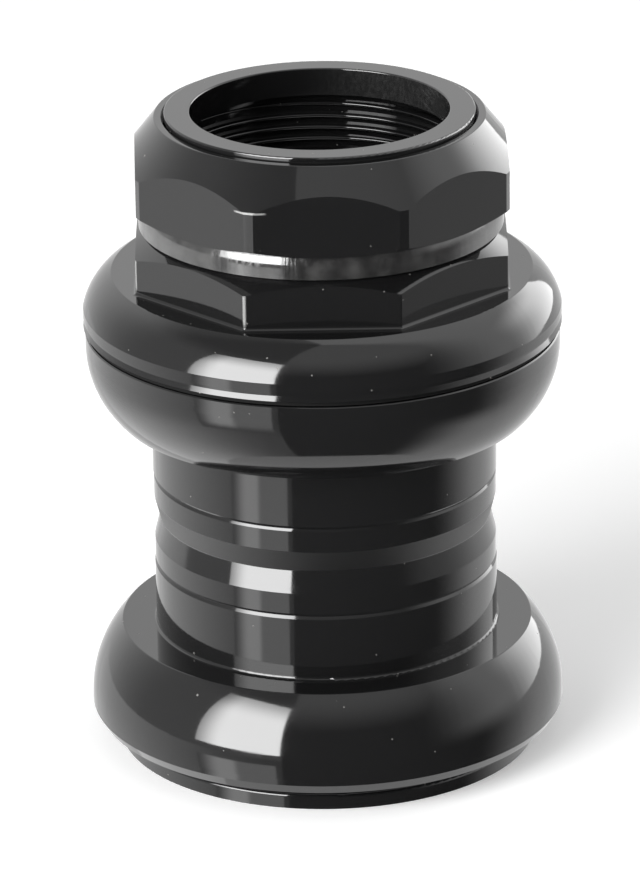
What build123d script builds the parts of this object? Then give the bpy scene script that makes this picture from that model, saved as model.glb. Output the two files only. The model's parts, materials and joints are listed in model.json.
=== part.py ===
from build123d import *
from math import cos, hypot, pi, radians, sqrt, tan
import os

# A threaded one-inch bicycle headset, standing on its crown race as it comes out of the box: the
# lower cup on the crown race's bearing, the upper cup on the lower cup, skirt against skirt, and the
# adjusting cup, washer and lock nut on top. Sizes in millimetres, +Z up along the steering axis.

# Fits
steerer_thread = 25.4  # threaded steerer, 24 turns to the inch, at the crests
crown_seat_step = 1.0  # the fork's crown seat is this much wider than the steerer
crown_hub_wall = 0.375  # crown race inside the bearing's bore
bearing_section = 5.425  # from the bearing's bore to its outside
head_tube_bore = 30.2  # the skirts press into it
quill_shelf = 1.5  # the lock nut's ring reaches this far inside the thread, for a 22.2 quill stem
flat_wall = 3.3  # from the thread to a flat, lock nut and adjusting cup: a 32 mm spanner
spanner_sides = 8
edge_round = 0.12  # turned edges that show

# Cartridge bearing
bearing_height = 6.5
race_chamfer = 1.0  # outer race's 45 degree seat
cone_height = 1.2  # inner race's conical seat
cone_angle = 36.0  # from the axis
race_edge_break = 0.3
ball_diameter = 3.175
ball_count = 18
groove_clearance = 0.06  # ball to groove
high_land = 0.9  # pitch circle to the shoulder that carries the load
low_land = 1.18  # pitch circle to the shoulder on the open side
seal_seat_depth = 0.6
seal_seat_step = 0.35  # wider than the outer race's high land
seal_thickness = 0.45
seal_lip_gap = 0.15
cage_thickness = 1.1
cage_rim = 0.34  # beside each pocket
pocket_clearance = 0.12

# Cups
skirt_wall = 1.5
skirt_length = 9.95
press_land = 5.64  # full-size stretch of the skirt, next to the seat
skirt_groove_depth = 0.15  # turned line that ends the press land
skirt_groove_fall = 0.26  # land to the groove's bottom, along the skirt
skirt_groove_rise = 0.22  # from there to the rest of the skirt
skirt_step = 0.05  # the rest of the skirt is this much smaller
lead_in_height = 1.95
lead_in_depth = 0.48
root_fillet = 0.25
seat_width = 3.0  # head tube seat, outside the skirt
floor_thickness = 1.4
race_clearance = 0.3  # bearing faces to what they must not touch
seat_gap = 0.02  # conical seats and bearing bores
lower_cup_wall = 1.9
upper_cup_wall = 1.7
lower_edge_recess = 0.1  # bearing inside the lower cup's edge
upper_edge_standout = 0.74  # bearing beyond the upper cup's edge
bowl_wall_height = 1.4  # straight side, with the edge
lower_edge_chamfer_width = 0.5
lower_edge_chamfer_height = 0.85
upper_edge_break = 0.1

# Crown race
crown_flange_inset = 0.5  # flange inside the bearing's outside
crown_flange_height = 1.4
crown_gap = 1.0  # flange to the lower cup's edge
crown_shoulder_width = 0.95  # shoulder under the inner race, outside the cone's foot
crown_edge_round = 0.35
crown_seal_thickness = 0.4
crown_seal_lip_width = 0.5
crown_seal_lip_height = 0.7
crown_seal_inset = 0.05  # seal to the flange's rounded edge

# Adjusting cup
rim_wall = 1.85  # outside the bearing
rim_gap = 0.52  # upper cup's edge to the rim
lip_height = 0.44
rim_groove_height = 0.3
rim_groove_depth = 0.18  # the lip flares out from it
rim_band_height = 0.8
rim_taper = 0.02
dome_height = 3.18
dome_bulge = 0.42
shoulder_width = 1.0  # outside the corners of the flats
collar_height = 4.4
collar_corner_round = 0.3
collar_foot_fillet = 0.3
collar_chamfer_height = 1.33  # at the corners
collar_chamfer_width = 2.06
cavity_gap = 0.5  # over the bearing
lip_gap = 0.3  # bearing to the rim's inside
rim_seal_clearance = 0.1  # to the upper cup's edge
rim_seal_inset = 0.3  # from both sides of the rim
thread_lead_in = 0.45  # along the axis
thread_lead_in_width = 0.29

# Washer, lock nut and its ring
washer_thickness = 2.0
washer_inset = 0.15  # inside the flats
washer_wall_height = 0.85  # straight part of its edge
washer_edge_fall = 0.22  # the rest curves in by this much
washer_bore_clearance = 0.2
nut_height = 7.6
nut_turn = 1.5  # degrees past the adjusting cup's flats, as tightened
nut_corner_turn = 0.17  # turned off the corners
nut_foot_height = 0.6
nut_cone_height = 3.57
nut_land = 0.8  # top face outside the ring's seat
ring_seat_depth = 2.0
ring_seat_step = 0.8  # wider than the thread
ring_seat_edge = 0.2
ring_gap = 0.05
ring_standout = 0.45
ring_edge_round = 0.15

# Radii that several pieces share
thread_radius = steerer_thread / 2
crown_bore_radius = thread_radius + crown_seat_step / 2
bearing_bore_radius = crown_bore_radius + crown_hub_wall
bearing_radius = bearing_bore_radius + bearing_section
pitch_radius = (bearing_bore_radius + bearing_radius) / 2
skirt_radius = head_tube_bore / 2
flat_radius = thread_radius + flat_wall
corner_radius = flat_radius / cos(pi / spanner_sides)
crown_flange_radius = bearing_radius - crown_flange_inset
cone_slope = tan(radians(cone_angle))
cone_foot_radius = bearing_bore_radius + cone_height * cone_slope
cone_hub_height = cone_height - race_edge_break  # how far a cone reaches into the inner race

# Heights, from the ground up
bearing_depth = floor_thickness + race_clearance  # head tube seat to bearing
lower_bowl_depth = bearing_depth + bearing_height + lower_edge_recess
upper_bowl_depth = bearing_depth + bearing_height - upper_edge_standout
lower_edge_z = crown_flange_height + crown_gap
lower_seat_z = lower_edge_z + lower_bowl_depth
upper_seat_z = lower_seat_z + 2 * skirt_length
upper_edge_z = upper_seat_z + upper_bowl_depth
lower_bearing_z = lower_seat_z - bearing_depth  # its seated end, which faces up
upper_bearing_z = upper_seat_z + bearing_depth  # its seated end, which faces down
lower_race_z = lower_bearing_z - bearing_height
upper_race_z = upper_bearing_z + bearing_height
rim_z = upper_edge_z + rim_gap
dome_z = rim_z + lip_height + rim_groove_height + rim_band_height
shoulder_z = dome_z + dome_height
washer_z = shoulder_z + collar_height
nut_z = washer_z + washer_thickness
nut_top_z = nut_z + nut_height


def bulged(start, end, bulge):
    """The middle point of an arc from start to end that stands bulge to the right of its chord."""
    along = (end[0] - start[0], end[1] - start[1])
    length = hypot(*along)
    return (
        (start[0] + end[0]) / 2 + bulge * along[1] / length,
        (start[1] + end[1]) / 2 - bulge * along[0] / length,
    )


def rounded_out(start, end):
    """The middle point of an arc from start that ends running straight along the axis at end."""
    rise, drop = end[1] - start[1], end[0] - start[0]
    radius = (rise**2 + drop**2) / (2 * drop)
    side = rise / 2
    return (end[0] - radius + (1 if radius > 0 else -1) * sqrt(radius**2 - side**2), end[1] - side)


def groove_half_height(land):
    """Half the width of the ball groove where it meets a shoulder at this distance from the pitch circle."""
    groove_radius = ball_diameter / 2 + groove_clearance
    return sqrt(groove_radius**2 - land**2)


def cut_lead_ins(threaded):
    """Cones at both ends of the thread in the piece being built."""
    turned = threaded.faces().filter_by(GeomType.CYLINDER)
    thread = turned.filter_by(lambda face: abs(face.radius - thread_radius) < seat_gap)[0]
    chamfer(thread.edges().filter_by(GeomType.CIRCLE), thread_lead_in, thread_lead_in_width, reference=thread)


def make_cup(seat_z, way, bowl_depth, wall, chamfer_width, chamfer_height):
    """A bearing cup. way is the direction along Z from the head tube seat to the bowl's edge."""

    def at(radius, depth):
        return (radius, seat_z + way * depth)

    bore = skirt_radius - skirt_wall
    small = skirt_radius - skirt_step
    groove_depth = press_land + skirt_groove_fall
    widest = at(bearing_radius + wall, bowl_depth - bowl_wall_height)
    pocket = bearing_radius + seat_gap
    seat_foot = bearing_depth + race_chamfer
    rim = at(skirt_radius + seat_width, 0)
    root = at(skirt_radius, -root_fillet)
    root_end = at(skirt_radius + root_fillet, 0)
    with BuildPart() as cup:
        with BuildSketch(Plane.XZ):
            with BuildLine():
                Polyline(
                    at(bore, floor_thickness),
                    at(bore, -skirt_length),
                    at(small - lead_in_depth, -skirt_length),
                    at(small, lead_in_height - skirt_length),
                    at(small, -groove_depth - skirt_groove_rise),
                    at(skirt_radius - skirt_groove_depth, -groove_depth),
                    at(skirt_radius, -press_land),
                    root,
                )
                ThreePointArc(root, bulged(root, root_end, -way * root_fillet * (1 - sqrt(0.5))), root_end)
                Line(root_end, rim)
                ThreePointArc(rim, rounded_out(rim, widest), widest)
                Polyline(
                    widest,
                    at(widest[0], bowl_depth - chamfer_height),
                    at(widest[0] - chamfer_width, bowl_depth),
                    at(pocket, bowl_depth),
                    at(pocket, seat_foot),
                    at(pocket - (seat_foot - floor_thickness), floor_thickness),
                    at(bore, floor_thickness),
                )
            make_face()
        revolve(axis=Axis.Z)
        chamfer(
            cup.edges()
            .filter_by(GeomType.CIRCLE)
            .filter_by(lambda edge: abs(edge.radius - bore) < seat_gap),
            race_edge_break,
        )
        fillet(
            cup.edges()
            .filter_by(GeomType.CIRCLE)
            .filter_by(lambda edge: abs(edge.radius - rim[0]) < edge_round),
            edge_round,
        )
    return cup


def make_bearing(seat_z, way):
    """A cartridge bearing's pieces by name. way is the direction along Z from the seated end to the cone."""

    def at(radius, depth):
        return (radius, seat_z + way * depth)

    middle = bearing_height / 2
    outer_high = pitch_radius + high_land
    outer_low = pitch_radius + low_land
    inner_high = pitch_radius - high_land
    inner_low = pitch_radius - low_land
    seal_seat = outer_high + seal_seat_step
    groove = ball_diameter / 2 + groove_clearance
    pocket = ball_diameter / 2 + pocket_clearance

    with BuildPart() as outer_race:
        groove_start = at(outer_high, middle - groove_half_height(high_land))
        groove_end = at(outer_low, middle + groove_half_height(low_land))
        with BuildSketch(Plane.XZ):
            with BuildLine():
                Polyline(
                    groove_end,
                    at(outer_low, bearing_height - seal_seat_depth),
                    at(seal_seat, bearing_height - seal_seat_depth),
                    at(seal_seat, bearing_height),
                    at(bearing_radius - race_edge_break, bearing_height),
                    at(bearing_radius, bearing_height - race_edge_break),
                    at(bearing_radius, race_chamfer),
                    at(bearing_radius - race_chamfer, 0),
                    at(seal_seat, 0),
                    at(seal_seat, seal_seat_depth),
                    at(outer_high, seal_seat_depth),
                    groove_start,
                )
                ThreePointArc(groove_start, at(pitch_radius + groove, middle), groove_end)
            make_face()
        revolve(axis=Axis.Z)

    with BuildPart() as inner_race:
        groove_start = at(inner_low, middle - groove_half_height(low_land))
        groove_end = at(inner_high, middle + groove_half_height(high_land))
        with BuildSketch(Plane.XZ):
            with BuildLine():
                Polyline(
                    groove_end,
                    at(inner_high, bearing_height),
                    at(cone_foot_radius, bearing_height),
                    at(bearing_bore_radius, bearing_height - cone_height),
                    at(bearing_bore_radius, race_edge_break),
                    at(bearing_bore_radius + race_edge_break, 0),
                    at(inner_low, 0),
                    groove_start,
                )
                ThreePointArc(groove_start, at(pitch_radius - groove, middle), groove_end)
            make_face()
        revolve(axis=Axis.Z)

    with BuildPart() as balls:
        with Locations((0, 0, at(0, middle)[1])):
            with PolarLocations(pitch_radius, ball_count):
                Sphere(radius=ball_diameter / 2)

    with BuildPart() as cage:
        with Locations((0, 0, at(0, middle)[1])):
            Cylinder(radius=pitch_radius + cage_thickness / 2, height=2 * (pocket + cage_rim))
            Cylinder(
                radius=pitch_radius - cage_thickness / 2,
                height=2 * (pocket + cage_rim),
                mode=Mode.SUBTRACT,
            )
            with PolarLocations(pitch_radius, ball_count):
                Cylinder(
                    radius=pocket, height=2 * cage_thickness, rotation=(0, 90, 0), mode=Mode.SUBTRACT
                )

    def make_seal(land, depth):
        with BuildPart() as seal:
            with BuildSketch(Plane.XY.offset(at(0, depth)[1])):
                Circle(radius=seal_seat - seat_gap)
                Circle(radius=land + seal_lip_gap, mode=Mode.SUBTRACT)
            extrude(amount=seal_thickness / 2, both=True)
        return seal

    seated_seal = make_seal(inner_low, seal_seat_depth - seal_thickness / 2)
    cone_seal = make_seal(inner_high, bearing_height - seal_seat_depth + seal_thickness / 2)
    return {
        "outer_race": outer_race,
        "inner_race": inner_race,
        "balls": balls,
        "cage": cage,
        "seated_seal": seated_seal,
        "cone_seal": cone_seal,
    }


upper_cup = make_cup(
    upper_seat_z, 1, upper_bowl_depth, upper_cup_wall, upper_edge_break, upper_edge_break
)
lower_cup = make_cup(
    lower_seat_z,
    -1,
    lower_bowl_depth,
    lower_cup_wall,
    lower_edge_chamfer_width,
    lower_edge_chamfer_height,
)
upper_bearing = make_bearing(upper_bearing_z, 1)
lower_bearing = make_bearing(lower_bearing_z, -1)

# Crown race: a flange on the fork crown, a shoulder and the cone that carries the inner race
crown_shoulder_z = lower_race_z - race_clearance
crown_shoulder_radius = cone_foot_radius + crown_shoulder_width
crown_cone_z = lower_race_z - seat_gap  # where the cone has the inner race's foot radius
with BuildPart() as crown_race:
    with BuildSketch(Plane.XZ):
        with BuildLine():
            Polyline(
                (crown_bore_radius, 0),
                (crown_flange_radius, 0),
                (crown_flange_radius, crown_flange_height),
                (crown_shoulder_radius, crown_flange_height),
                (crown_shoulder_radius, crown_shoulder_z),
                (cone_foot_radius + (crown_cone_z - crown_shoulder_z) * cone_slope, crown_shoulder_z),
                (cone_foot_radius - cone_hub_height * cone_slope, crown_cone_z + cone_hub_height),
                (crown_bore_radius, crown_cone_z + cone_hub_height),
                close=True,
            )
        make_face()
    revolve(axis=Axis.Z)
    fillet(
        crown_race.edges()
        .filter_by(GeomType.CIRCLE)
        .filter_by_position(Axis.Z, crown_flange_height, crown_flange_height)
        .sort_by(SortBy.RADIUS)[-1],
        crown_edge_round,
    )

# Crown seal: a rubber ring on the flange, with a lip towards the lower cup
crown_seal_radius = crown_flange_radius - crown_edge_round - crown_seal_inset
crown_seal_bore = crown_shoulder_radius + seat_gap
with BuildPart() as crown_seal:
    with BuildSketch(Plane.XZ):
        with BuildLine():
            Polyline(
                (crown_seal_bore, crown_flange_height),
                (crown_seal_radius, crown_flange_height),
                (crown_seal_radius, crown_flange_height + crown_seal_lip_height),
                (crown_seal_radius - crown_seal_lip_width, crown_flange_height + crown_seal_thickness),
                (crown_seal_bore, crown_flange_height + crown_seal_thickness),
                close=True,
            )
        make_face()
    revolve(axis=Axis.Z)

# Adjusting cup: the spanner collar with its chamfered corners, and the turned dome and rim below it
rim_radius = bearing_radius + rim_wall
rim_inside = bearing_radius + lip_gap
lip_z = rim_z + lip_height
band_z = lip_z + rim_groove_height
groove_radius = rim_radius - rim_groove_depth
cavity_z = upper_race_z + cavity_gap
cup_cone_z = upper_race_z + seat_gap  # where the cone has the inner race's foot radius
dome_start = (rim_radius - rim_taper, dome_z)
dome_end = (corner_radius + shoulder_width, shoulder_z)
with BuildPart() as adjusting_cup:
    with BuildSketch(Plane.XY.offset(shoulder_z)):
        RegularPolygon(
            radius=flat_radius, side_count=spanner_sides, major_radius=False, rotation=180 / spanner_sides
        )
    extrude(amount=collar_height)
    fillet(adjusting_cup.edges().filter_by(Axis.Z), collar_corner_round)
    with BuildSketch(Plane.XZ):
        with BuildLine():
            Polyline(
                (0, shoulder_z),
                (corner_radius, shoulder_z),
                (corner_radius, washer_z - collar_chamfer_height),
                (corner_radius - collar_chamfer_width, washer_z),
                (0, washer_z),
                close=True,
            )
        make_face()
    revolve(axis=Axis.Z, mode=Mode.INTERSECT)
    with BuildSketch(Plane.XZ):
        with BuildLine():
            Polyline(
                (0, shoulder_z),
                (0, cup_cone_z - cone_hub_height),
                (cone_foot_radius - cone_hub_height * cone_slope, cup_cone_z - cone_hub_height),
                (cone_foot_radius + (cavity_z - cup_cone_z) * cone_slope, cavity_z),
                (rim_inside, cavity_z),
                (rim_inside, rim_z),
                (rim_radius, rim_z),
                (groove_radius, lip_z),
                (groove_radius, band_z),
                (rim_radius, band_z),
                dome_start,
            )
            ThreePointArc(dome_start, bulged(dome_start, dome_end, dome_bulge), dome_end)
            Line(dome_end, (0, shoulder_z))
        make_face()
    revolve(axis=Axis.Z)
    collar_foot = adjusting_cup.edges().filter_by_position(Axis.Z, shoulder_z, shoulder_z)
    fillet(collar_foot.sort_by(SortBy.LENGTH)[:-1], collar_foot_fillet)
    fillet(
        adjusting_cup.edges()
        .filter_by(GeomType.CIRCLE)
        .filter_by_position(Axis.Z, dome_z, shoulder_z)
        .filter_by(lambda edge: edge.radius > corner_radius),
        edge_round,
    )
    with Locations((0, 0, washer_z)):
        Hole(radius=thread_radius)
    cut_lead_ins(adjusting_cup)

# Rim seal: a rubber ring under the adjusting cup's rim, close over the upper cup's edge
with BuildPart() as rim_seal:
    with BuildSketch(Plane.XY.offset(rim_z)):
        Circle(radius=rim_radius - rim_seal_inset)
        Circle(radius=rim_inside + rim_seal_inset, mode=Mode.SUBTRACT)
    extrude(amount=rim_seal_clearance - rim_gap)

# Washer, its edge straight below and rounded in above
washer_radius = flat_radius - washer_inset
washer_widest = (washer_radius, washer_z + washer_wall_height)
washer_high = (washer_radius - washer_edge_fall, nut_z)
washer_bore = thread_radius + washer_bore_clearance
with BuildPart() as spacer_washer:
    with BuildSketch(Plane.XZ):
        with BuildLine():
            ThreePointArc(washer_widest, rounded_out(washer_high, washer_widest), washer_high)
            Polyline(
                washer_high,
                (washer_bore, nut_z),
                (washer_bore, washer_z),
                (washer_radius, washer_z),
                washer_widest,
            )
        make_face()
    revolve(axis=Axis.Z)

# Lock nut: flats on a turned blank, and a seat for its ring in the top
ring_seat_radius = thread_radius + ring_seat_step
nut_corner_radius = corner_radius - nut_corner_turn
with BuildPart() as lock_nut:
    with BuildSketch(Plane.XY.offset(nut_z)):
        RegularPolygon(
            radius=flat_radius,
            side_count=spanner_sides,
            major_radius=False,
            rotation=180 / spanner_sides + nut_turn,
        )
    extrude(amount=nut_height)
    with BuildSketch(Plane.XZ):
        with BuildLine():
            Polyline(
                (0, nut_z),
                (flat_radius, nut_z),
                (nut_corner_radius, nut_z + nut_foot_height),
                (nut_corner_radius, nut_top_z - nut_cone_height),
                (ring_seat_radius + nut_land, nut_top_z),
                (0, nut_top_z),
                close=True,
            )
        make_face()
    revolve(axis=Axis.Z, mode=Mode.INTERSECT)
    with Locations((0, 0, nut_top_z)):
        CounterBoreHole(
            radius=thread_radius,
            counter_bore_radius=ring_seat_radius,
            counter_bore_depth=ring_seat_depth,
        )
    cut_lead_ins(lock_nut)
    top_edges = lock_nut.faces().sort_by(Axis.Z)[-1].edges().sort_by(SortBy.RADIUS)
    chamfer(top_edges[0], ring_seat_edge)
    fillet(top_edges[-1], edge_round)

# Ring in the lock nut's top, round the quill stem
with BuildPart() as lock_nut_ring:
    with BuildSketch(Plane.XY.offset(nut_top_z - ring_seat_depth)):
        Circle(radius=ring_seat_radius - ring_gap)
        Circle(radius=thread_radius - quill_shelf, mode=Mode.SUBTRACT)
    extrude(amount=ring_seat_depth + ring_standout)
    fillet(lock_nut_ring.faces().sort_by(Axis.Z)[-1].edges(), ring_edge_round)

pieces = {
    "lock_nut": lock_nut,
    "lock_nut_ring": lock_nut_ring,
    "spacer_washer": spacer_washer,
    "adjusting_cup": adjusting_cup,
    "rim_seal": rim_seal,
    "upper_cup": upper_cup,
    "lower_cup": lower_cup,
    "crown_seal": crown_seal,
    "crown_race": crown_race,
}
pieces |= {f"upper_{name}": piece for name, piece in upper_bearing.items()}
pieces |= {f"lower_{name}": piece for name, piece in lower_bearing.items()}

os.makedirs("parts", exist_ok=True)
for node, piece in pieces.items():
    piece.part.label = node
    export_step(piece.part, f"parts/{node}.step")
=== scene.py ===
import json
import math

import bpy
from mathutils import Matrix, Vector


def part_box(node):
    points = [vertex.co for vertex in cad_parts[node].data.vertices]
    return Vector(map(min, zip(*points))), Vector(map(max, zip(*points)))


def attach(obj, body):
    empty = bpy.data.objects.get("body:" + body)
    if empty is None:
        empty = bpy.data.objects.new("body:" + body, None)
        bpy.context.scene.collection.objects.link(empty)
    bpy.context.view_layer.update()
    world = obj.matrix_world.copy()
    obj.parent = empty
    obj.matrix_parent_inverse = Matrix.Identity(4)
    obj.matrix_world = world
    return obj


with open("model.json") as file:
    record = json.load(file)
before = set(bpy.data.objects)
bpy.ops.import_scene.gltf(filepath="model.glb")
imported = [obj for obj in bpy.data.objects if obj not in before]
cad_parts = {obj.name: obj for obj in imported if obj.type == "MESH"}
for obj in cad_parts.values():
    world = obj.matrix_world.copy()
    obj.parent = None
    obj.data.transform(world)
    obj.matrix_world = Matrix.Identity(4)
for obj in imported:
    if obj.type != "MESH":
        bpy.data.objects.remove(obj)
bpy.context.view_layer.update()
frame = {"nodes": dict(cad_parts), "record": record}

scene = bpy.context.scene

# Inside threads, in metres and degrees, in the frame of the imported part
MM = 0.001
thread_radius = 12.7 * MM
thread_pitch = 25.4 * MM / 24
thread_depth = 0.573 * MM
thread_crest_round = 0.15 * MM
thread_crest_turns = (-60, -30, 0, 30, 60)
thread_flank_angle = 30
thread_root_sink = 0.05 * MM  # how far the ridge's foot is buried in the wall
thread_steps_per_turn = 120
thread_fade_turns = 1 / 3  # at each end
thread_lead_in = 0.45 * MM
ring_seat_depth = 2.0 * MM

# Painted highlights on edges and in the bore, and the finish, in millimetres from the axis or above the
# base
collar_corner_radius = 17.26
collar_highlight_foot = 43.8
nut_corner_radius = 16.825
nut_arc_height = 53.75
nut_arc_front = -12.0  # only the corner in front of this y gets the painted highlight
lead_in_radii = (12.7, 13.25)
lead_in_height = 55.08
ring_bore_radius = 11.35
ring_foot = 55.2
satin_lead_in_height = 21.65  # the middle of the upper skirt's lead-in

# Colours
black = (0.007, 0.007, 0.0072, 1)
dust_grey = (0.14, 0.137, 0.13, 1)
# painted highlight: the pale metal put on edges and in the bore where they should catch the lamps
highlight_metal_grey = (0.75, 0.75, 0.74, 1)
steel_black = (0.011, 0.011, 0.011, 1)
steel_worn = (0.045, 0.045, 0.044, 1)
steel_bright = (0.55, 0.55, 0.56)
rubber_black = (0.004, 0.004, 0.004, 1)
lint_grey = (0.22, 0.21, 0.20, 1)
nylon = (0.65, 0.62, 0.52)
white = (1, 1, 1, 1)
floor_white = (0.98, 0.98, 0.98)

# Studio, in metres and degrees. Azimuths run from the camera's side, right positive
floor_reach = 3.0
floor_lift = (0.24, 0.57)  # the floor's own glow, near the object and far from the lamps
floor_lift_ends = (200, 1000)  # millimetres from the object
fill_light = 0.45
card_centre = 0.03
card_reach = 1.6
card_foot, card_table_edge, card_top = -66, -6, 89
card_left_end, card_front_edge, card_right_end = -150, -22, 140
panel_height = 0.8

# Camera, fitted to the ellipses of the bore, the flange and the skirts
camera_place = Vector((-0.39, -500.0, 221.5)) * MM
camera_pitch = 0.372
camera_roll = math.radians(0.85)
camera_lens = 245.7
camera_sensor = 36.0
camera_clip_start = 0.01


class Nodes:
    """Adds nodes to one tree and gives back their output sockets. An input is a socket or a plain value."""

    def __init__(self, tree):
        self.tree = tree

    def add(self, kind, inputs=(), output=0, **settings):
        """One node. output names the socket to give back, and None gives them all."""
        node = self.tree.nodes.new(kind)
        for key, value in settings.items():
            setattr(node, key, value)
        for key, value in dict(inputs).items():
            self.feed(node.inputs[key], value)
        return node.outputs if output is None else node.outputs[output]

    def feed(self, socket, value):
        if isinstance(value, bpy.types.NodeSocket):
            self.tree.links.new(value, socket)
        else:
            socket.default_value = value

    def math(self, operation, *values):
        return self.add("ShaderNodeMath", dict(enumerate(values)), operation=operation)

    def vector(self, operation, *values, output=0):
        return self.add("ShaderNodeVectorMath", dict(enumerate(values)), output, operation=operation)

    def split(self, vector):
        return self.add("ShaderNodeSeparateXYZ", {0: vector}, output=None)

    def step(self, value, start, end, low=0.0, high=1.0):
        """Goes smoothly from low, where value is start, to high, where it is end."""
        ends = {"Value": value, "From Min": start, "From Max": end, "To Min": low, "To Max": high}
        return self.add("ShaderNodeMapRange", ends, interpolation_type="SMOOTHSTEP")

    def above(self, value, edge, blur):
        """0 below the edge and 1 above it, going over within blur to each side."""
        return self.step(value, edge - blur, edge + blur)

    def below(self, value, edge, blur):
        return self.step(value, edge + blur, edge - blur)

    def band(self, value, middle, inner, outer):
        """1 within inner of the middle, falling to 0 at outer."""
        return self.step(self.math("ABSOLUTE", self.math("SUBTRACT", value, middle)), outer, inner)

    def product(self, first, *others):
        for other in others:
            first = self.math("MULTIPLY", first, other)
        return first

    def total(self, first, *others):
        for other in others:
            first = self.math("ADD", first, other)
        return first

    def most(self, first, *others):
        for other in others:
            first = self.math("MAXIMUM", first, other)
        return first

    def mix(self, share, first, second):
        """A number between first, where share is 0, and second, where it is 1."""
        return self.add("ShaderNodeMix", {0: share, 2: first, 3: second})

    def mix_color(self, share, first, second):
        colors = {0: share, 6: first, 7: second}
        return self.add("ShaderNodeMix", colors, output=2, data_type="RGBA")

    def noise(self, place, scale, detail=3.0):
        return self.add("ShaderNodeTexNoise", {"Vector": place, "Scale": scale, "Detail": detail})

    def bump(self, height, strength, distance):
        return self.add("ShaderNodeBump", {"Strength": strength, "Distance": distance, "Height": height})

    def place(self):
        """The point on the surface, in millimetres."""
        point = self.add("ShaderNodeTexCoord", output="Object")
        return self.vector("MULTIPLY", point, (1 / MM,) * 3)

    def turned_place(self, place):
        """The point's distance from the steering axis and its height."""
        x, y, z = self.split(place)
        radius = self.math("SQRT", self.total(self.product(x, x), self.product(y, y)))
        return radius, z

    def azimuth(self, x, y):
        return self.math("DEGREES", self.math("ARCTAN2", x, self.math("MULTIPLY", y, -1)))

    def seen(self):
        """1 for what is seen, straight, mirrored or through glass, and 0 for what lights a surface."""
        rays = self.add("ShaderNodeLightPath", output=None)
        return self.most(rays["Is Camera Ray"], rays["Is Glossy Ray"], rays["Is Transmission Ray"])


def new_material(name, roughness, ior, base_color=(0, 0, 0)):
    """A Principled material. Values that are the same all over sit on the shader's own sockets."""
    material = bpy.data.materials.new(name)
    material.use_nodes = True
    shader = material.node_tree.nodes["Principled BSDF"]
    shader.inputs["Base Color"].default_value = (*base_color, 1)
    shader.inputs["Roughness"].default_value = roughness
    shader.inputs["IOR"].default_value = ior
    return material, shader, Nodes(material.node_tree)


def dust(nodes, place, cell, size, share):
    """1 on sparse specks of that size, in millimetres, and 0 between them."""
    cells = nodes.add("ShaderNodeTexVoronoi", {"Vector": place, "Scale": 1 / cell}, output=None)
    near = nodes.step(cells["Distance"], size / cell, 0.6 * size / cell)
    draw = nodes.add("ShaderNodeSeparateColor", {0: cells["Color"]})
    return nodes.product(near, nodes.math("LESS_THAN", draw, share))


def turned_lines(nodes, radius, height):
    """Fine rings left by the lathe: a noise that changes along the radius and the axis only."""
    ring = nodes.add("ShaderNodeCombineXYZ", {0: radius, 2: height})
    return nodes.noise(ring, 9.0)


def painted_edge_highlights(nodes, place, radius, height):
    """Painted highlights: how much pale metal is put over the black where edges should catch the softbox,
    on the collar's corners, the nut's front corner and the lead-in of the nut's thread, and a painted
    reflection, uneven, on the back of the ring's bore."""
    x, y, _ = nodes.split(place)
    # front_left faces the softbox; back_right is the bore's far wall, which faces it
    front_left = nodes.product(nodes.below(x, -2, 4), nodes.below(y, -2, 4))
    back_right = nodes.product(nodes.above(x, 2, 4), nodes.above(y, 2, 4))
    # painted highlight along the collar's corners on the softbox side
    collar_corner = nodes.product(
        nodes.above(radius, collar_corner_radius, 0.02),
        nodes.above(height, collar_highlight_foot, 0.4),
        front_left, 0.45)
    # painted highlight on the nut's front corner arc
    nut_arc = nodes.product(
        nodes.above(radius, nut_corner_radius, 0.075),
        nodes.band(height, nut_arc_height, 0.05, 0.11),
        nodes.below(y, nut_arc_front, 1),
        front_left, 0.6)
    # painted highlight on the thread's lead-in, all round
    lead_in = nodes.product(
        nodes.above(radius, lead_in_radii[0], 0.04),
        nodes.below(radius, lead_in_radii[1], 0.05),
        nodes.band(height, lead_in_height, 0.23, 0.26),
        0.2)
    stretched = nodes.vector("MULTIPLY", place, (1.0, 1.0, 0.5))
    bore_sheen_mottle = nodes.step(nodes.noise(stretched, 4.0, 5.0), 0.3, 0.8, 0.012, 0.035)
    # painted reflection: the ring's bore lighter at the back right
    ring_bore = nodes.product(
        nodes.below(radius, ring_bore_radius, 0.05),
        nodes.above(height, ring_foot, 0.2),
        back_right, bore_sheen_mottle)
    return nodes.most(collar_corner, nut_arc, ring_bore, lead_in)


def black_anodised():
    material, shader, nodes = new_material("black_anodised", 0.06, 1.77)
    place = nodes.place()
    radius, height = nodes.turned_place(place)
    lines = turned_lines(nodes, radius, height)
    # painted highlights: pale metal on edges and in the bore, turning their colour, metallic and roughness
    painted_highlights = painted_edge_highlights(nodes, place, radius, height)
    normal = nodes.add("ShaderNodeNewGeometry", output="Normal")
    _, _, facing_up = nodes.split(normal)
    fine_share = nodes.step(facing_up, 0.3, 0.95, 0.25, 0.8)
    specks = nodes.most(dust(nodes, place, 1.3, 0.09, fine_share), dust(nodes, place, 4.0, 0.13, 0.35))
    color = nodes.mix_color(specks, black, dust_grey)
    nodes.feed(shader.inputs["Base Color"], nodes.mix_color(painted_highlights, color, highlight_metal_grey))
    nodes.feed(shader.inputs["Metallic"], painted_highlights)
    cloud = nodes.noise(place, 0.35, 4.0)
    polish = nodes.total(nodes.step(cloud, 0.35, 0.75, 0.045, 0.075), nodes.product(lines, 0.02))
    satin = nodes.band(height, satin_lead_in_height, 0.9, 0.95)
    rough = nodes.mix(satin, polish, 0.4)
    nodes.feed(shader.inputs["Roughness"], nodes.mix(nodes.most(specks, painted_highlights), rough, 0.5))
    nodes.feed(shader.inputs["Normal"], nodes.bump(lines, 0.04, 0.02 * MM))
    return material


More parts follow.
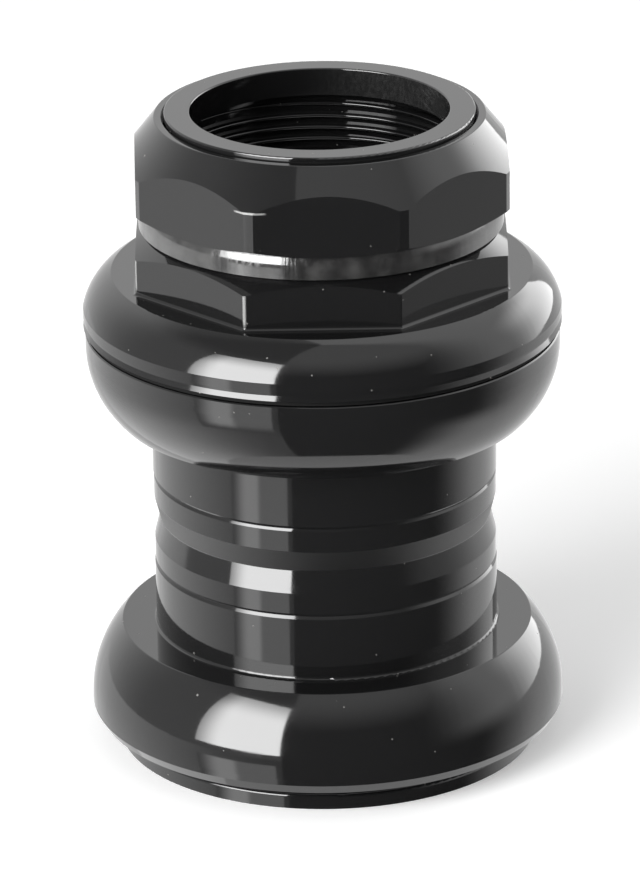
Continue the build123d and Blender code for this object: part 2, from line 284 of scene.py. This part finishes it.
def blackened_steel():
    material, shader, nodes = new_material("blackened_steel", 0.2, 2.2)
    place = nodes.place()
    upright = nodes.vector("MULTIPLY", place, (1.0, 1.0, 0.12))
    streaks = nodes.noise(upright, 2.2, 5.0)
    patches = nodes.noise(place, 0.5, 4.0)
    color = nodes.mix_color(nodes.step(patches, 0.35, 0.7), steel_black, steel_worn)
    nodes.feed(shader.inputs["Base Color"], color)
    nodes.feed(shader.inputs["Roughness"], nodes.step(streaks, 0.42, 0.66, 0.07, 0.24))
    nodes.feed(shader.inputs["Normal"], nodes.bump(streaks, 0.2, 0.05 * MM))
    return material


def bearing_steel():
    material, shader, nodes = new_material("bearing_steel", 0.2, 1.5, steel_bright)
    shader.inputs["Metallic"].default_value = 1
    lines = turned_lines(nodes, *nodes.turned_place(nodes.place()))
    nodes.feed(shader.inputs["Roughness"], nodes.step(lines, 0.3, 0.7, 0.14, 0.26))
    return material


def black_rubber():
    material, shader, nodes = new_material("black_rubber", 0.7, 1.3)
    place = nodes.place()
    lint = dust(nodes, place, 0.7, 0.1, 0.3)
    nodes.feed(shader.inputs["Base Color"], nodes.mix_color(lint, rubber_black, lint_grey))
    grain = nodes.noise(place, 5.0)
    nodes.feed(shader.inputs["Normal"], nodes.bump(grain, 0.4, 0.05 * MM))
    return material


def cage_nylon():
    material, shader, nodes = new_material("cage_nylon", 0.4, 1.53, nylon)
    grain = nodes.noise(nodes.place(), 1.2)
    nodes.feed(shader.inputs["Roughness"], nodes.step(grain, 0.3, 0.7, 0.34, 0.5))
    return material


materials = {
    make.__name__: make()
    for make in (black_anodised, blackened_steel, bearing_steel, black_rubber, cage_nylon)
}
for subpart in frame["record"]["subparts"]:
    node = frame["nodes"][subpart["node"]]
    node.data.materials.clear()
    node.data.materials.append(materials[subpart["material_slot"]])


def add_object(name, data):
    piece = bpy.data.objects.new(name, data)
    scene.collection.objects.link(piece)
    return piece


def add_mesh(name, verts, faces, material):
    mesh = bpy.data.meshes.new(name)
    mesh.from_pydata(verts, [], faces)
    mesh.materials.append(material)
    return add_object(name, mesh)


def thread_ridge(name, foot, top):
    """The ridges of an inside thread: flanks at 60 degrees and a rounded crest, on a right-hand helix."""
    crest = []
    for turn in map(math.radians, thread_crest_turns):
        crest.append((thread_crest_round * (1 - math.cos(turn)), thread_crest_round * math.sin(turn)))
    steps = int((top - foot) / thread_pitch * thread_steps_per_turn)
    fade_steps = thread_steps_per_turn * thread_fade_turns
    flank_slope = math.tan(math.radians(thread_flank_angle))
    verts, faces = [], []
    for step in range(steps + 1):
        angle = 2 * math.pi * step / thread_steps_per_turn
        middle = foot + thread_pitch * step / thread_steps_per_turn
        depth = thread_depth * min(1, step / fade_steps, (steps - step) / fade_steps)
        flank = max(0, depth - crest[0][0] + thread_root_sink)
        root_half = crest[-1][1] + flank * flank_slope
        profile = [
            (thread_root_sink, -root_half),
            *((back - depth, rise) for back, rise in crest),
            (thread_root_sink, root_half),
        ]
        for out, rise in profile:
            radius = thread_radius + out
            verts.append((radius * math.cos(angle), radius * math.sin(angle), middle + rise))
    sides = len(profile)
    for step in range(steps):
        for side in range(sides):
            here, beside = step * sides + side, step * sides + (side + 1) % sides
            faces.append((here, beside, beside + sides, here + sides))
    faces.append(tuple(reversed(range(sides))))
    faces.append(tuple(steps * sides + side for side in range(sides)))
    piece = add_mesh(name, verts, faces, materials["black_anodised"])
    piece.data.shade_smooth()
    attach(piece, "top_stack")


for node_name, above in (("lock_nut", ring_seat_depth), ("adjusting_cup", 0)):
    lowest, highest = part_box(node_name)
    margin = thread_lead_in + thread_pitch / 2
    thread_ridge(f"{node_name}_thread", lowest.z + margin, highest.z - above - margin)


def stage_material(name, base_color=(0, 0, 0)):
    """A matt material for the studio, with the socket that makes it glow white."""
    material, shader, nodes = new_material(name, 0.9, 1.3, base_color)
    shader.inputs["Specular IOR Level"].default_value = 0
    shader.inputs["Emission Color"].default_value = white
    return material, shader.inputs["Emission Strength"], nodes


def floor():
    material, glow, nodes = stage_material("floor", floor_white)
    distance = nodes.vector("LENGTH", nodes.place(), output="Value")
    lift = nodes.step(distance, *floor_lift_ends, *floor_lift)
    nodes.feed(glow, nodes.product(nodes.seen(), lift))
    corners = ((-1, -1), (1, -1), (1, 1), (-1, 1))
    verts = [(x * floor_reach, y * floor_reach, 0) for x, y in corners]
    piece = add_mesh("floor", verts, [(0, 1, 2, 3)], material)
    piece.visible_glossy = False


def card(name, span, rise, reach, shade):
    """A curved studio card that only reflections see. span and rise are its azimuths and elevations, and
    shade gives its brightness, where 1 is white."""
    columns, rows = 32, 16
    verts, faces = [], []
    for row in range(rows + 1):
        elevation = math.radians(rise[0] + (rise[1] - rise[0]) * row / rows)
        level, up = reach * math.cos(elevation), reach * math.sin(elevation)
        for column in range(columns + 1):
            azimuth = math.radians(span[0] + (span[1] - span[0]) * column / columns)
            verts.append((level * math.sin(azimuth), -level * math.cos(azimuth), up))
    for row in range(rows):
        for column in range(columns):
            here = row * (columns + 1) + column
            faces.append((here, here + 1, here + columns + 2, here + columns + 1))
    material, glow, nodes = stage_material(name)
    x, y, z = nodes.split(nodes.vector("NORMALIZE", nodes.place()))
    elevation = nodes.math("DEGREES", nodes.math("ARCSINE", z))
    nodes.feed(glow, shade(nodes, nodes.azimuth(x, y), elevation))
    piece = add_mesh(name, verts, faces, material)
    piece.location.z = card_centre
    piece.visible_camera = piece.visible_diffuse = False
    piece.visible_transmission = piece.visible_shadow = False


def front_shade(nodes, azimuth, elevation):
    """Black before the camera, paler to the right and overhead."""
    table = nodes.step(azimuth, 75, 122, 0.07, 1.0)
    wall = nodes.step(azimuth, 45, 98, 0.07, 1.0)
    off_table = nodes.most(nodes.step(elevation, -10, 8), nodes.step(elevation, -26, -42))
    ceiling = nodes.step(elevation, 14, 58, 0.0, 0.52)
    return nodes.most(nodes.mix(off_table, table, wall), ceiling)


def left_shade(nodes, azimuth, elevation):
    """Grey beside the softbox, white towards the back, dim overhead."""
    wall = nodes.step(azimuth, -95, -150, 0.42, 1.0)
    return nodes.product(wall, nodes.step(elevation, 38, 58, 1.0, 0.45))


def left_table_shade(nodes, azimuth, elevation):
    """Paler away from the camera and straight below."""
    table = nodes.step(azimuth, card_front_edge, -120, 0.26, 1.1)
    return nodes.product(table, nodes.step(elevation, -24, -42, 1.0, 1.4))


def reflector_shade(nodes, azimuth, elevation):
    """The reflector under the softbox, brighter in its far half and soft at its left and lower edges."""
    inside = nodes.product(nodes.step(azimuth, -65, -53), nodes.step(elevation, -34, -26))
    return nodes.mix(inside, 0.4, nodes.step(azimuth, -43, -47, 1.0, 2.0))


def panel_lamp(name, turn, away, width, brightness, shade):
    """A tall lamp standing on the floor and facing the object. turn is its azimuth, brightness is what a
    mirror shows of it, where 1 is white, and shade makes it uneven, as a real panel is."""
    lamp = bpy.data.lights.new(name, "AREA")
    lamp.shape = "RECTANGLE"
    lamp.size, lamp.size_y = width, panel_height
    lamp.energy = brightness * math.pi * width * panel_height
    lamp.use_nodes = True
    nodes = Nodes(lamp.node_tree)
    x, y, z = nodes.split(nodes.add("ShaderNodeNewGeometry", output="Position"))
    emission = lamp.node_tree.nodes["Emission"]
    nodes.feed(emission.inputs["Strength"], shade(nodes, nodes.azimuth(x, y), z))
    piece = add_object(name, lamp)
    angle = math.radians(turn)
    piece.location = (away * math.sin(angle), -away * math.cos(angle), panel_height / 2)
    inward = Vector((-piece.location.x, -piece.location.y, 0))
    piece.rotation_euler = inward.to_track_quat("-Z", "Y").to_euler()
    piece.visible_camera = False


def softbox_shade(nodes, azimuth, height):
    """Falls off at the left edge and towards the top."""
    across = nodes.step(azimuth, -68, -52, 0.25, 1.0)
    return nodes.product(across, nodes.step(height, panel_height, 0.42, 0.45, 1.0))


def back_panel_shade(nodes, azimuth, height):
    """Rises from nothing at the edge nearest the camera, and fades out at the top."""
    return nodes.product(nodes.step(azimuth, 98, 138), nodes.step(height, panel_height, 0.4))


floor()
left_span, whole_rise = (card_left_end, card_front_edge), (card_foot, card_top)
card("front_card", (card_front_edge, card_right_end), whole_rise, card_reach, front_shade)
card("left_card", left_span, (card_table_edge, card_top), card_reach, left_shade)
card("left_table_card", left_span, (card_foot, card_table_edge), card_reach, left_table_shade)
card("reflector", (-65, -25), (-34, -12), 0.9 * card_reach, reflector_shade)
panel_lamp("softbox", turn=-44, away=0.7, width=0.545, brightness=9.0, shade=softbox_shade)
panel_lamp("back_panel", turn=125, away=0.9, width=0.9, brightness=3.0, shade=back_panel_shade)

world = bpy.data.worlds.new("studio")
world.use_nodes = True
scene.world = world
nodes = Nodes(world.node_tree)
background = world.node_tree.nodes["Background"]
background.inputs["Color"].default_value = white
nodes.feed(background.inputs["Strength"], nodes.mix(nodes.seen(), fill_light, 1.0))

camera_data = bpy.data.cameras.new("camera")
camera_data.lens = camera_lens
camera_data.sensor_width = camera_sensor
camera_data.clip_start = camera_clip_start
camera = add_object("camera", camera_data)
level_right = Vector((1, 0, 0))
level_up = Vector((0, math.sin(camera_pitch), math.cos(camera_pitch)))
right = level_right * math.cos(camera_roll) - level_up * math.sin(camera_roll)
up = level_up * math.cos(camera_roll) + level_right * math.sin(camera_roll)
turned = Matrix((right, up, right.cross(up))).transposed().to_4x4()
camera.matrix_world = Matrix.Translation(camera_place) @ turned
scene.camera = camera

scene.view_settings.view_transform = "Standard"
